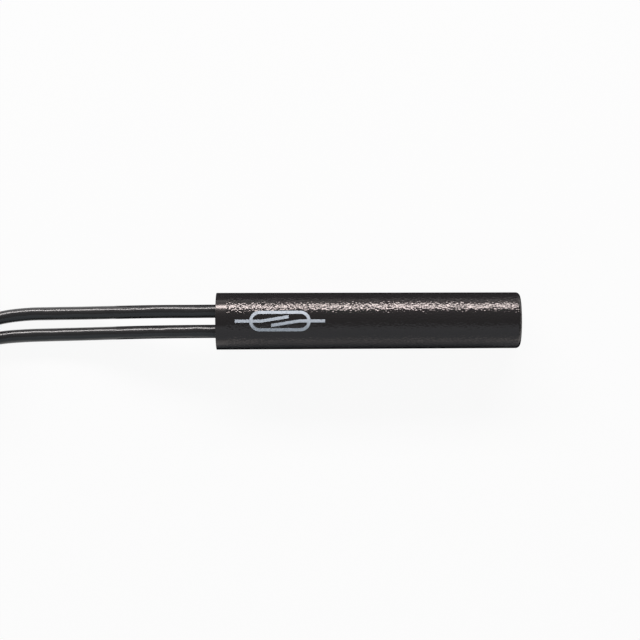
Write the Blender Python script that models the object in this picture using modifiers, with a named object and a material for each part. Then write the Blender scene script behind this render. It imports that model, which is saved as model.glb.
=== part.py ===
"""Cylindrical reed sensor with two leads, modelled at real size in metres, +Z up.

The sensor lies on its side on z = 0 with its axis along X. The closed, sensing end is at +X
and the leads leave the open end towards -X. Inside the potting, a glass reed switch has
one lead soldered to each of its reeds.
"""

import math

import bmesh
import bpy
from mathutils import Vector

mm = 0.001

# Moulded housing
HOUSING_LENGTH = 32 * mm
HOUSING_DIAMETER = 6 * mm  # at the open end
HOUSING_WALL = 0.5 * mm
END_WALL = 1 * mm
DRAFT = math.radians(0.1)  # each side, so that the moulding leaves its core and cavity
CORNER_RADIUS = 0.45 * mm  # outside edge of the closed end
BORE_CORNER_RADIUS = 0.4 * mm
MOUTH_EDGE = 0.06 * mm
MOUTH_LEAD_IN = 0.12 * mm

# Potting compound
POTTING_RECESS = 0.4 * mm  # from the mouth down to the middle of the dished surface
POTTING_CLIMB = 0.25 * mm  # how far it has wetted up the bore above that

# Clearance that is left between pieces that touch
CLEARANCE = 0.05 * mm

# Glass capsule of the reed switch
CAPSULE_DIAMETER = 2 * mm
CAPSULE_LENGTH = 14 * mm
CAPSULE_WALL = 0.25 * mm
CAPSULE_NOSE = 0.65 * mm
SEAL_LENGTH = 1.8 * mm
SEAL_TAPER = 0.6 * mm

# Reeds, each one wire whose inner end is pressed into a blade
REED_WIRE_DIAMETER = 0.5 * mm
BLADE_THICKNESS = 0.2 * mm
BLADE_OVERLAP = 1.2 * mm
BLADE_TIP_RADIUS = 0.25 * mm
CONTACT_GAP = 0.08 * mm
SHOULDER_START = 0.4 * mm  # from the inner end of the glass seal
SHOULDER_LENGTH = 0.9 * mm
REED_OUTSIDE = 3.5 * mm  # bare wire outside the glass
REED_TO_FLOOR = 2 * mm  # from the end of the far reed's wire to the bottom of the bore

# Leads
LEAD_DIAMETER = 1.4 * mm
LEAD_PITCH = 2.12 * mm
CORE_DIAMETER = 0.6 * mm
CORE_INSIDE = 3.4 * mm  # stripped core of the near lead, along the reed wire
CORE_CROSSING = 2.4 * mm  # length in which the far lead's core crosses to the reed wire
CORE_RUN_OUT = 0.7 * mm  # straight core between the far lead's insulation and the crossing
BARE_END = 3 * mm  # stripped and tinned at the free end

# Solder joints
JOINT_HALF_LENGTH = 1 * mm
JOINT_BULGE = 1.5 * mm  # half-length that the barrel would have if it closed to a point
JOINT_WIDTH = 1.24 * mm
JOINT_HEIGHT = 1.9 * mm
JOINT_INSET = 1.2 * mm  # from the end of the reed wire to the middle of the joint

# Hank of the leads' spare length, folded in line with the sensor
HANK_FROM_MOUTH = 30.8 * mm  # to the middle of the fold nearest to the sensor
HANK_Y = 2 * mm
HANK_RUN = 21 * mm  # between the middles of the two folds
FOLD_RADIUS = 4.2 * mm  # three diameters, at the inner column of turns
WAIST_HALF_GAP = 0.75 * mm  # from the middle plane to the inner turns under the tie
HANK_COLUMNS = 2
HANK_LAYERS = 4
LEVEL_MARGIN = 0.3 * mm  # how far past the strap's edges the lifted hank stays level
LIFT_RAMP = 5.6 * mm  # in which it comes down to the surface again

# Tie round the middle of the hank
STRAP_WIDTH = 2.5 * mm
STRAP_THICKNESS = 0.8 * mm
STRAP_CORNER = 0.45 * mm  # inside radius
HEAD_WIDTH = 3.6 * mm
HEAD_HEIGHT = 4 * mm
HEAD_DEPTH = 2.6 * mm
HEAD_EDGE = 0.3 * mm
STUB_LENGTH = 0.6 * mm

# Routes of the free stretches in millimetres: X and Y from where the lead leaves the mouth or the
# hank's far fold, and the height of its underside above the surface
NEAR_ROUTE = [
    (-2.5, -0.01, 2.54),
    (-5.5, -0.01, 2.22),
    (-8.5, -0.04, 1.58),
    (-11.5, -0.09, 0.82),
    (-14.5, -0.14, 0.28),
    (-17.5, -0.18, 0.05),
    (-20.5, -0.26, 0.01),
    (-23.0, -0.58, 0.01),
    (-24.3, -0.92, 0.01),
]
FAR_ROUTE = [
    (-2.5, -0.01, 2.53),
    (-5.5, -0.04, 2.18),
    (-8.5, -0.09, 1.50),
    (-11.5, -0.17, 0.73),
    (-14.5, -0.25, 0.23),
    (-17.5, -0.32, 0.04),
    (-20.5, -0.41, 0.01),
    (-23.0, -0.60, 0.01),
    (-25.0, -0.94, 0.01),
]
NEAR_END_ROUTE = [
    (-5.6, 0.00, 4.10),
    (-7.8, -0.01, 3.15),
    (-10.0, -0.06, 1.60),
    (-12.2, -0.16, 0.40),
    (-14.4, -0.30, 0.02),
    (-16.0, -0.42, 0.01),
]
FAR_END_ROUTE = [
    (-4.6, -0.02, 4.10),
    (-6.4, -0.08, 3.20),
    (-8.2, -0.20, 1.70),
    (-10.0, -0.38, 0.40),
    (-11.8, -0.60, 0.02),
    (-13.0, -0.76, 0.01),
]

# Facets
HOUSING_SIDES = 64
BORE_SIDES = 24
CAPSULE_SIDES = 32
REED_SIDES = 16
HANK_SECTIONS = 33

# Values that follow from the sizes above
MOUTH_X = -HOUSING_LENGTH / 2
END_X = HOUSING_LENGTH / 2
FLOOR_X = END_X - END_WALL
AXIS_Z = HOUSING_DIAMETER / 2
LEAD_ABOVE_REED = (REED_WIRE_DIAMETER + CORE_DIAMETER) / 2 + CLEARANCE
LEAD_Z = AXIS_Z + LEAD_ABOVE_REED / 2
CAPSULE_Z = AXIS_Z - LEAD_ABOVE_REED / 2
HINGE_FROM_CENTRE = CAPSULE_LENGTH / 2 - SEAL_LENGTH
REED_WIRE_END = CAPSULE_LENGTH / 2 + REED_OUTSIDE
CAPSULE_CENTRE_X = FLOOR_X - REED_TO_FLOOR - REED_WIRE_END
JOINT_FROM_CENTRE = REED_WIRE_END - JOINT_INSET
HANK_MIDDLE_X = MOUTH_X - HANK_FROM_MOUTH - HANK_RUN / 2
HANK_FAR_X = HANK_MIDDLE_X - HANK_RUN / 2
HANK_OUTSIDE = (HANK_COLUMNS - 0.5) * LEAD_DIAMETER  # from the inner turns to the outer surface
HANK_HEIGHT = HANK_LAYERS * LEAD_DIAMETER
TIE_LIFT = STRAP_THICKNESS + CLEARANCE


def housing_radius(x):
    return HOUSING_DIAMETER / 2 - (x - MOUTH_X) * math.tan(DRAFT)


def bore_radius(x):
    return housing_radius(x) - HOUSING_WALL


def capsule_y():
    """How far the capsule lies to the side: halfway between the far lead and the wall of the bore."""
    to_wall = bore_radius(CAPSULE_CENTRE_X + CAPSULE_LENGTH / 2) - CAPSULE_DIAMETER / 2
    to_lead = (CAPSULE_DIAMETER + LEAD_DIAMETER) / 2
    at_wall = math.sqrt(to_wall**2 - (AXIS_Z - CAPSULE_Z) ** 2)
    at_lead = math.sqrt(to_lead**2 - (LEAD_Z - CAPSULE_Z) ** 2) - LEAD_PITCH / 2
    return (at_wall + at_lead) / 2


CAPSULE_Y = capsule_y()


def clear_scene():
    for obj in list(bpy.data.objects):
        bpy.data.objects.remove(obj, do_unlink=True)


def new_collection(name):
    collection = bpy.data.collections.new(name)
    bpy.context.scene.collection.children.link(collection)
    return collection


def new_material(name, colour, roughness, metallic=0.0, transmission=0.0):
    material = bpy.data.materials.new(name)
    material.use_nodes = True
    shader = material.node_tree.nodes["Principled BSDF"]
    shader.inputs["Base Color"].default_value = (*colour, 1.0)
    shader.inputs["Roughness"].default_value = roughness
    shader.inputs["Metallic"].default_value = metallic
    shader.inputs["Transmission Weight"].default_value = transmission
    material.diffuse_color = (*colour, 1.0)
    return material


def new_object(name, data, material, collection):
    obj = bpy.data.objects.new(name, data)
    data.materials.append(material)
    collection.objects.link(obj)
    if collection.name == "cutters":
        obj.hide_render = True
        obj.display_type = "WIRE"
    return obj


def arc(centre, radius, start, end, steps):
    """Points on an arc, with the angles in degrees from the first axis towards the second."""
    points = []
    for i in range(steps + 1):
        angle = math.radians(start + (end - start) * i / steps)
        points.append((centre[0] + radius * math.cos(angle), centre[1] + radius * math.sin(angle)))
    return points


def turned(name, profile, at, sides, material, collection, ring=False):
    """A body turned about an axis along X through the point at, from (radius, distance along X) pairs.

    The profile runs down its outer side from high to low X. It closes on itself where ring is set,
    and otherwise starts and ends on the axis.
    """
    mesh = bpy.data.meshes.new(name)
    edges = [(i, i + 1) for i in range(len(profile) - 1)]
    if ring:
        edges.append((len(profile) - 1, 0))
    mesh.from_pydata([(radius, 0, along) for radius, along in profile], edges, [])
    obj = new_object(name, mesh, material, collection)
    obj.location = at
    obj.rotation_euler = (0, math.pi / 2, 0)
    screw = obj.modifiers.new("turn", "SCREW")
    screw.steps = sides
    screw.render_steps = sides
    screw.use_merge_vertices = True
    screw.merge_threshold = 1e-6
    return obj


def loft(name, rings, material, collection):
    """A closed body through rings of equal numbers of points, with a flat cap at each end."""
    bm = bmesh.new()
    rows = [[bm.verts.new(point) for point in ring] for ring in rings]
    count = len(rows[0])
    for low, high in zip(rows, rows[1:]):
        for i in range(count):
            j = (i + 1) % count
            bm.faces.new((low[i], low[j], high[j], high[i]))
    bm.faces.new(rows[0])
    bm.faces.new(rows[-1])
    bmesh.ops.recalc_face_normals(bm, faces=bm.faces)
    mesh = bpy.data.meshes.new(name)
    bm.to_mesh(mesh)
    bm.free()
    return new_object(name, mesh, material, collection)


def smooth_route(points, spacing):
    """Points at about the given spacing on a smooth curve through the route's own points."""
    knots = [Vector(point) for point in points]
    ends = [2 * knots[0] - knots[1], *knots, 2 * knots[-1] - knots[-2]]
    fine = [knots[0]]
    for before, start, end, after in zip(ends, ends[1:], ends[2:], ends[3:]):
        parts = max(1, math.ceil((end - start).length / (spacing / 8)))
        for i in range(1, parts + 1):
            t = i / parts
            fine.append(
                0.5
                * (
                    2 * start
                    + (end - before) * t
                    + (2 * before - 5 * start + 4 * end - after) * t**2
                    + (3 * start - before - 3 * end + after) * t**3
                )
            )
    travelled = [0.0]
    for start, end in zip(fine, fine[1:]):
        travelled.append(travelled[-1] + (end - start).length)
    count = max(2, round(travelled[-1] / spacing) + 1)
    even, at = [], 0
    for i in range(count):
        target = travelled[-1] * i / (count - 1)
        while at < len(fine) - 2 and travelled[at + 1] < target:
            at += 1
        share = (target - travelled[at]) / (travelled[at + 1] - travelled[at])
        even.append(fine[at].lerp(fine[at + 1], min(1.0, share)))
    return even


def tube(name, points, diameter, material, collection, resolution=2):
    """A round wire with flat ends through the points."""
    curve = bpy.data.curves.new(name, "CURVE")
    curve.dimensions = "3D"
    curve.bevel_depth = diameter / 2
    curve.bevel_resolution = resolution
    curve.use_fill_caps = True
    spline = curve.splines.new("POLY")
    spline.points.add(len(points) - 1)
    for target, point in zip(spline.points, points):
        target.co = (*point, 1.0)
    return new_object(name, curve, material, collection)


def as_mesh(curve_object, collection):
    """The same shape as a mesh whose caps are welded, in place of the curve."""
    name, material = curve_object.name, curve_object.data.materials[0]
    evaluated = curve_object.evaluated_get(bpy.context.evaluated_depsgraph_get())
    mesh = bpy.data.meshes.new_from_object(evaluated)
    bm = bmesh.new()
    bm.from_mesh(mesh)
    bmesh.ops.remove_doubles(bm, verts=bm.verts, dist=CLEARANCE / 50)
    bmesh.ops.recalc_face_normals(bm, faces=bm.faces)
    bm.to_mesh(mesh)
    bm.free()
    matrix = curve_object.matrix_world.copy()
    bpy.data.objects.remove(curve_object, do_unlink=True)
    mesh.materials.clear()
    obj = new_object(name, mesh, material, collection)
    obj.matrix_world = matrix
    return obj


def boolean(obj, other, operation):
    modifier = obj.modifiers.new(f"{operation.lower()} {other.name}", "BOOLEAN")
    modifier.operation = operation
    modifier.solver = "EXACT"
    modifier.object = other


def round_bore(name, diameter, start_x, end_x, y, z, material, collection):
    """A cutter for a round hole along X."""
    radius = diameter / 2
    profile = [(0, end_x), (radius, end_x), (radius, start_x), (0, start_x)]
    return turned(name, profile, (0, y, z), BORE_SIDES, material, collection)


# Housing


def build_housing(material, parts):
    """The moulded tube, closed at +X, with drafted walls inside and out."""
    corner = (housing_radius(END_X) - CORNER_RADIUS, END_X - CORNER_RADIUS)
    bore_corner = (bore_radius(FLOOR_X) - BORE_CORNER_RADIUS, FLOOR_X - BORE_CORNER_RADIUS)
    profile = [
        (0, END_X),
        *arc(corner, CORNER_RADIUS, 90, 0, 6),
        (housing_radius(MOUTH_X + MOUTH_EDGE), MOUTH_X + MOUTH_EDGE),
        (housing_radius(MOUTH_X) - MOUTH_EDGE, MOUTH_X),
        (bore_radius(MOUTH_X) + MOUTH_LEAD_IN, MOUTH_X),
        (bore_radius(MOUTH_X + MOUTH_LEAD_IN), MOUTH_X + MOUTH_LEAD_IN),
        *arc(bore_corner, BORE_CORNER_RADIUS, 0, 90, 5),
        (0, FLOOR_X),
    ]
    return turned("housing", profile, (0, 0, AXIS_Z), HOUSING_SIDES, material, parts)


# Reed switch


def capsule_outline(grow):
    """The capsule's outer side from its +X seal to its -X seal, moved outwards by grow."""
    nose = CAPSULE_NOSE
    centre = (CAPSULE_DIAMETER / 2 - nose, CAPSULE_LENGTH / 2 - nose)
    upper = arc(centre, nose + grow, 90, 0, 6)
    return upper + [(radius, -along) for radius, along in reversed(upper)]


def build_capsule(material, parts):
    """The glass tube, fused down at both ends on to the reed wires."""
    seal_radius = REED_WIRE_DIAMETER / 2 + CLEARANCE
    inside_radius = CAPSULE_DIAMETER / 2 - CAPSULE_WALL
    half = CAPSULE_LENGTH / 2
    inside = [
        (seal_radius, -half),
        (seal_radius, -HINGE_FROM_CENTRE),
        (inside_radius, -HINGE_FROM_CENTRE + SEAL_TAPER),
        (inside_radius, HINGE_FROM_CENTRE - SEAL_TAPER),
        (seal_radius, HINGE_FROM_CENTRE),
        (seal_radius, half),
    ]
    at = (CAPSULE_CENTRE_X, CAPSULE_Y, CAPSULE_Z)
    profile = capsule_outline(0) + inside
    return turned("glass_capsule", profile, at, CAPSULE_SIDES, material, parts, ring=True)


def reed_section(x, pressed, narrowing):
    """One ring of the reed at x: round where pressed is 0, the flat blade where it is 1.

    The blade keeps the wire's area, and its contact face stands half the gap from the capsule's axis.
    """
    wire = REED_WIRE_DIAMETER / 2
    half_thickness = BLADE_THICKNESS / 2
    half_width = math.pi * wire**2 / BLADE_THICKNESS / 2 - narrowing
    flat = half_width - half_thickness
    offset = pressed * (CONTACT_GAP / 2 + half_thickness)
    ring = []
    for i in range(REED_SIDES):
        angle = 2 * math.pi * (i + 0.5) / REED_SIDES
        across, up = math.cos(angle), math.sin(angle)
        blade_up = math.copysign(flat, up) + half_thickness * up
        blade_across = half_thickness * max(-1.0, min(1.0, 1.5 * across))
        y = (1 - pressed) * wire * across + pressed * blade_across
        z = (1 - pressed) * wire * up + pressed * blade_up
        ring.append((x, offset + y, z))
    return ring


def build_reeds(material, parts):
    """Two equal reeds, each with its origin where the blade leaves the glass and starts to bend."""
    tip = HINGE_FROM_CENTRE + BLADE_OVERLAP / 2
    rings = [
        reed_section(-(REED_WIRE_END - HINGE_FROM_CENTRE), 0, 0),
        reed_section(SHOULDER_START, 0, 0),
    ]
    steps = 6
    for i in range(1, steps + 1):
        share = i / steps
        pressed = share * share * (3 - 2 * share)
        rings.append(reed_section(SHOULDER_START + share * SHOULDER_LENGTH, pressed, 0))
    for angle in (0, 30, 60, 90):
        back = BLADE_TIP_RADIUS * (1 - math.sin(math.radians(angle)))
        narrowing = BLADE_TIP_RADIUS * (1 - math.cos(math.radians(angle)))
        rings.append(reed_section(tip - back, 1, narrowing))
    near = loft("reed_near", rings, material, parts)
    near.location = (CAPSULE_CENTRE_X - HINGE_FROM_CENTRE, CAPSULE_Y, CAPSULE_Z)
    far = bpy.data.objects.new("reed_far", near.data)
    parts.objects.link(far)
    far.location = (CAPSULE_CENTRE_X + HINGE_FROM_CENTRE, CAPSULE_Y, CAPSULE_Z)
    far.rotation_euler = (0, 0, math.pi)


# Leads and what they are soldered to


def near_core_points():
    """The near lead's stripped core, straight along the top of the reed wire."""
    end = CAPSULE_CENTRE_X - JOINT_FROM_CENTRE + JOINT_INSET
    return [(end - CORE_INSIDE, LEAD_PITCH / 2, LEAD_Z), (end, LEAD_PITCH / 2, LEAD_Z)]


def far_core_points():
    """The far lead's core, which crosses behind the capsule to lie on top of the other reed wire."""
    end = CAPSULE_CENTRE_X + REED_WIRE_END
    lap = CAPSULE_CENTRE_X + JOINT_FROM_CENTRE - JOINT_HALF_LENGTH + CLEARANCE
    start = lap - CORE_CROSSING
    points = [(start - CORE_RUN_OUT, -LEAD_PITCH / 2, LEAD_Z)]
    steps = 10
    for i in range(steps + 1):
        share = i / steps
        across = share * share * (3 - 2 * share)
        y = -LEAD_PITCH / 2 + across * (CAPSULE_Y + LEAD_PITCH / 2)
        points.append((start + share * CORE_CROSSING, y, LEAD_Z))
    points.append((end, CAPSULE_Y, LEAD_Z))
    return points


def joint_profile(grow):
    """The barrel of solder, wetted along both wires and cut off square, for scaling across its axis."""
    steps = 8
    half = JOINT_HALF_LENGTH
    places = [half - 2 * half * i / steps for i in range(steps + 1)]
    side = [(math.sqrt(1 - (x / JOINT_BULGE) ** 2), x) for x in places]
    ends = (half + grow, -half - grow)
    return [(0, ends[0]), (side[0][0], ends[0]), *side, (side[-1][0], ends[1]), (0, ends[1])]


def joint(name, x, y, grow, material, collection):
    """A solder joint round a reed wire and the core that lies on it, or its cavity where grow is set."""
    obj = turned(name, joint_profile(grow), (x, y, AXIS_Z), BORE_SIDES, material, collection)
    obj.scale = (JOINT_HEIGHT / 2 + grow, JOINT_WIDTH / 2 + grow, 1)
    return obj


def placed(route, start_x, start_y):
    """The middle of the lead at a route's points."""
    start = Vector((start_x, start_y, LEAD_DIAMETER / 2))
    return [start + Vector(point) * mm for point in route]


def build_inside(materials, parts, cutters):
    """The potting compound, and the joints, cores and leads that are cast into it."""
    pitch = LEAD_PITCH / 2
    near_core, far_core = near_core_points(), far_core_points()
    near_joint_x = CAPSULE_CENTRE_X - JOINT_FROM_CENTRE
    far_joint_x = CAPSULE_CENTRE_X + JOINT_FROM_CENTRE
    near_joint_y = (CAPSULE_Y + pitch) / 2
    near_lead_end = near_core[0][0] - CLEARANCE
    far_lead_end = far_core[0][0] - CLEARANCE
    plain = materials["cutter"]

    tube("near_core", near_core, CORE_DIAMETER, materials["tinned_copper"], parts)
    tube("far_core", far_core, CORE_DIAMETER, materials["tinned_copper"], parts)

    # Cavities, each a clearance larger than what lies in it
    wider_core = CORE_DIAMETER + 2 * CLEARANCE
    core_cavities = []
    for name, points in (("near_core_cavity", near_core), ("far_core_cavity", far_core)):
        first, last = Vector(points[0]), Vector(points[-1])
        longer = Vector((4 * CLEARANCE, 0, 0))
        path = [first - longer, *[Vector(p) for p in points[1:-1]], last + longer]
        cavity = tube(name, path, wider_core, plain, cutters, resolution=4)
        core_cavities.append(as_mesh(cavity, cutters))
    reed_bore = round_bore(
        "reed_wire_bore",
        REED_WIRE_DIAMETER + 2 * CLEARANCE,
        CAPSULE_CENTRE_X - REED_WIRE_END - 4 * CLEARANCE,
        CAPSULE_CENTRE_X + REED_WIRE_END + 4 * CLEARANCE,
        CAPSULE_Y,
        CAPSULE_Z,
        plain,
        cutters,
    )

    near_joint = joint("near_solder_joint", near_joint_x, near_joint_y, 0, materials["solder"], parts)
    far_joint = joint("far_solder_joint", far_joint_x, CAPSULE_Y, 0, materials["solder"], parts)
    for solder, core_cavity in zip((near_joint, far_joint), core_cavities):
        boolean(solder, core_cavity, "DIFFERENCE")
        boolean(solder, reed_bore, "DIFFERENCE")

    capsule_at = (CAPSULE_CENTRE_X, CAPSULE_Y, CAPSULE_Z)
    outline = capsule_outline(CLEARANCE)
    profile = [(0, outline[0][1]), *outline, (0, outline[-1][1])]
    lead_bore = LEAD_DIAMETER + 2 * CLEARANCE
    outside = MOUTH_X - LEAD_DIAMETER
    cavities = [
        round_bore(
            "near_lead_bore", lead_bore, outside, near_lead_end + CLEARANCE, pitch, LEAD_Z, plain, cutters
        ),
        round_bore(
            "far_lead_bore", lead_bore, outside, far_lead_end + CLEARANCE, -pitch, LEAD_Z, plain, cutters
        ),
        joint("near_joint_cavity", near_joint_x, near_joint_y, CLEARANCE, plain, cutters),
        joint("far_joint_cavity", far_joint_x, CAPSULE_Y, CLEARANCE, plain, cutters),
        *core_cavities,
        reed_bore,
        turned("capsule_cavity", profile, capsule_at, CAPSULE_SIDES, plain, cutters),
    ]

    potting = build_potting(materials["epoxy"], parts)
    for cavity in cavities:
        boolean(potting, cavity, "DIFFERENCE")
    return near_lead_end, far_lead_end


def build_potting(material, parts):
    """The resin that fills the bore, dished at the mouth where it has shrunk and wetted the wall."""
    centre_x = MOUTH_X + POTTING_RECESS
    edge_x = centre_x - POTTING_CLIMB
    edge_radius = bore_radius(edge_x) - CLEARANCE
    end_x = FLOOR_X - CLEARANCE
    corner_radius = BORE_CORNER_RADIUS - CLEARANCE
    corner = (bore_radius(end_x) - CLEARANCE - corner_radius, end_x - corner_radius)
    dish = []
    steps = 7
    for i in range(steps + 1):
        out = math.cos(math.pi / 2 * i / steps)
        dish.append((edge_radius * out, centre_x - POTTING_CLIMB * out**6))
    profile = [(0, end_x), *arc(corner, corner_radius, 90, 0, 5), *dish]
    return turned("potting_compound", profile, (0, 0, AXIS_Z), HOUSING_SIDES, material, parts)


def build_leads(near_start, far_start, material, parts):
    """Both leads, whole from their stripped inner ends to the hank."""
    pitch = LEAD_PITCH / 2
    spacing = 2 * LEAD_DIAMETER
    for name, start, y, route in (
        ("near_lead", near_start, pitch, NEAR_ROUTE),
        ("far_lead", far_start, -pitch, FAR_ROUTE),
    ):
        exit_x = MOUTH_X - LEAD_DIAMETER / 2
        free = smooth_route([Vector((exit_x, y, LEAD_Z)), *placed(route, MOUTH_X, y)], spacing)
        tube(name, [Vector((start, y, LEAD_Z)), *free], LEAD_DIAMETER, material, parts)


# Hank, its tie and the free ends


def half_width(x, outwards):
    """The hank's half-width at x from its middle, outwards from the inner turns.

    Its outline is two round folds joined by hollow arcs that draw in to the waist under the tie.
    """
    half_run = HANK_RUN / 2
    waist = WAIST_HALF_GAP
    waist_radius = (half_run**2 + waist**2 - FOLD_RADIUS**2) / (2 * (FOLD_RADIUS - waist))
    slope = math.atan2(waist + waist_radius, half_run)
    x = abs(x)
    if x < (waist_radius - outwards) * math.cos(slope):
        return waist + waist_radius - math.sqrt((waist_radius - outwards) ** 2 - x**2)
    return math.sqrt(max(0.0, (FOLD_RADIUS + outwards) ** 2 - (x - half_run) ** 2))


def lift(x):
    """How far the hank is lifted at x from its middle, where the strap passes under it."""
    level = STRAP_WIDTH / 2 + LEVEL_MARGIN
    share = min(1.0, max(0.0, (abs(x) - level) / LIFT_RAMP))
    return TIE_LIFT * (1 + math.cos(math.pi * share)) / 2


def build_hank(material, parts):
    """The outer shape of the folded leads, as one body."""
    half_length = HANK_RUN / 2 + FOLD_RADIUS + HANK_OUTSIDE
    edge = 0.35 * LEAD_DIAMETER
    rings = []
    for i in range(HANK_SECTIONS):
        x = half_length * math.sin(math.pi * (i / (HANK_SECTIONS - 1) - 0.5))
        wide = max(half_width(x, HANK_OUTSIDE), LEAD_DIAMETER / 2)
        low = lift(x)
        high = low + HANK_HEIGHT
        corners = [
            (wide, low + edge),
            (wide, high - edge),
            (wide - edge, high),
            (edge - wide, high),
            (-wide, high - edge),
            (-wide, low + edge),
            (edge - wide, low),
            (wide - edge, low),
        ]
        rings.append([(x, y, z) for y, z in corners])
    hank = loft("lead_hank", rings, material, parts)
    hank.location = (HANK_MIDDLE_X, HANK_Y, 0)


def rounded_loop(corners, radius, steps):
    """The corners' outline with each corner replaced by an arc that is tangent to both sides."""
    loop = []
    for before, corner, after in zip(corners[-1:] + corners[:-1], corners, corners[1:] + corners[:1]):
        into = (Vector(corner) - Vector(before)).normalized()
        out = (Vector(after) - Vector(corner)).normalized()
        turn = math.acos(max(-1.0, min(1.0, into.dot(out))))
        back = radius * math.tan(turn / 2)
        for i in range(steps + 1):
            share = i / steps
            start = Vector(corner) - into * back * (1 - share)
            end = Vector(corner) + out * back * share
            loop.append(start.lerp(end, share))
    return loop


def build_tie(material, parts, cutters):
    """A small cable tie, moulded in one piece, whose strap passes under the hank and through its head."""
    side = half_width(STRAP_WIDTH / 2, HANK_OUTSIDE) + CLEARANCE
    low = STRAP_THICKNESS
    high = TIE_LIFT + HANK_HEIGHT + CLEARANCE
    corners = [(side, low), (side, high), (-side, high), (-side, low)]
    loop = rounded_loop(corners, STRAP_CORNER, 4)
    bm = bmesh.new()
    rows = [[bm.verts.new((x, y, z)) for y, z in loop] for x in (-STRAP_WIDTH / 2, STRAP_WIDTH / 2)]
    for i in range(len(loop)):
        j = (i + 1) % len(loop)
        bm.faces.new((rows[0][i], rows[0][j], rows[1][j], rows[1][i]))
    bmesh.ops.recalc_face_normals(bm, faces=bm.faces)
    mesh = bpy.data.meshes.new("hank_tie")
    bm.to_mesh(mesh)
    bm.free()
    tie = new_object("hank_tie", mesh, material, parts)
    tie.location = (HANK_MIDDLE_X, HANK_Y, 0)
    shell = tie.modifiers.new("strap", "SOLIDIFY")
    shell.thickness = STRAP_THICKNESS
    shell.offset = 1
    shell.use_even_offset = True

    inner_y = side + STRAP_THICKNESS / 2
    head = box("tie_head", (HEAD_WIDTH, HEAD_DEPTH, HEAD_HEIGHT), material, cutters)
    head.location = (HANK_MIDDLE_X, HANK_Y + inner_y + HEAD_DEPTH / 2, (low + high) / 2)
    bevel = head.modifiers.new("edges", "BEVEL")
    bevel.width = HEAD_EDGE
    bevel.segments = 2
    stub_size = (STRAP_WIDTH, 2 * STUB_LENGTH, STRAP_THICKNESS)
    stub = box("tie_stub", stub_size, material, cutters)
    stub.location = (HANK_MIDDLE_X, HANK_Y + inner_y + HEAD_DEPTH, (low + high) / 2)
    boolean(tie, head, "UNION")
    boolean(tie, stub, "UNION")


def box(name, size, material, collection):
    bm = bmesh.new()
    bmesh.ops.create_cube(bm, size=1)
    bmesh.ops.scale(bm, vec=size, verts=bm.verts)
    mesh = bpy.data.meshes.new(name)
    bm.to_mesh(mesh)
    bm.free()
    return new_object(name, mesh, material, collection)


def build_free_ends(materials, parts):
    """The leads' last stretches, which leave the hank and drop to the surface, and their tinned cores."""
    spacing = 1.5 * LEAD_DIAMETER
    for side, route, column in (("near", NEAR_END_ROUTE, 0), ("far", FAR_END_ROUTE, 1)):
        leaves_y = HANK_Y - FOLD_RADIUS - column * LEAD_DIAMETER
        points = smooth_route(placed(route, HANK_FAR_X, leaves_y), spacing)
        tube(f"{side}_lead_end", points, LEAD_DIAMETER, materials["insulation"], parts)
        along = points[-1] - points[-2]
        along = Vector((along.x, along.y, 0)).normalized()
        start = points[-1] + along * 2 * CLEARANCE
        tip = [start, start + along * BARE_END]
        tube(f"{side}_tinned_end", tip, CORE_DIAMETER, materials["tinned_copper"], parts)


def shade():
    """Smooth shading on the round pieces, with the real edges kept sharp."""
    for mesh in bpy.data.meshes:
        if mesh.polygons:
            mesh.shade_smooth()
            mesh.set_sharp_from_angle(angle=math.radians(30))


def main():
    clear_scene()
    parts = new_collection("reed_sensor")
    cutters = new_collection("cutters")
    materials = {
        "housing": new_material("housing_plastic", (0.022, 0.019, 0.019), 0.42),
        "epoxy": new_material("potting_epoxy", (0.012, 0.012, 0.012), 0.3),
        "glass": new_material("capsule_glass", (0.80, 0.90, 0.86), 0.05, 0, 1),
        "reed": new_material("nickel_iron", (0.62, 0.60, 0.56), 0.35, 1),
        "solder": new_material("solder", (0.70, 0.70, 0.71), 0.3, 1),
        "tinned_copper": new_material("tinned_copper", (0.72, 0.71, 0.69), 0.35, 1),
        "insulation": new_material("lead_insulation", (0.02, 0.018, 0.018), 0.35),
        "tie": new_material("tie_nylon", (0.03, 0.03, 0.03), 0.5),
        "cutter": new_material("cutter", (0.8, 0.1, 0.1), 0.5),
    }
    build_housing(materials["housing"], parts)
    build_capsule(materials["glass"], parts)
    build_reeds(materials["reed"], parts)
    near_start, far_start = build_inside(materials, parts, cutters)
    build_leads(near_start, far_start, materials["insulation"], parts)
    build_hank(materials["insulation"], parts)
    build_tie(materials["tie"], parts, cutters)
    build_free_ends(materials, parts)
    shade()


main()
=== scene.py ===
"""Looks of a potted reed sensor and its two leads, on a pale table and seen from above."""

import math

import bmesh
import bpy
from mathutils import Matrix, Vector


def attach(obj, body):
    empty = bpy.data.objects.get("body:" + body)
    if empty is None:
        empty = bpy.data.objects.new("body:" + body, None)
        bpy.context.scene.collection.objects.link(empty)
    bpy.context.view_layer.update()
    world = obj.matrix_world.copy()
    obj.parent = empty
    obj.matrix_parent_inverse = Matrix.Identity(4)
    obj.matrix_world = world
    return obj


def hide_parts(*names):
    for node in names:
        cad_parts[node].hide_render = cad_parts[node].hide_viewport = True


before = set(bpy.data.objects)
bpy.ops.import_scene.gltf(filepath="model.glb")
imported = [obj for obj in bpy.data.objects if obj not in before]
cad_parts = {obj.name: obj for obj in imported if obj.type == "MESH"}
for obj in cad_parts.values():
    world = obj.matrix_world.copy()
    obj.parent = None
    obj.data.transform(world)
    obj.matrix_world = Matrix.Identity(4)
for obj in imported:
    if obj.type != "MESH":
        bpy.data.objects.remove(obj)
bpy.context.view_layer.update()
mm = 0.001

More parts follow.
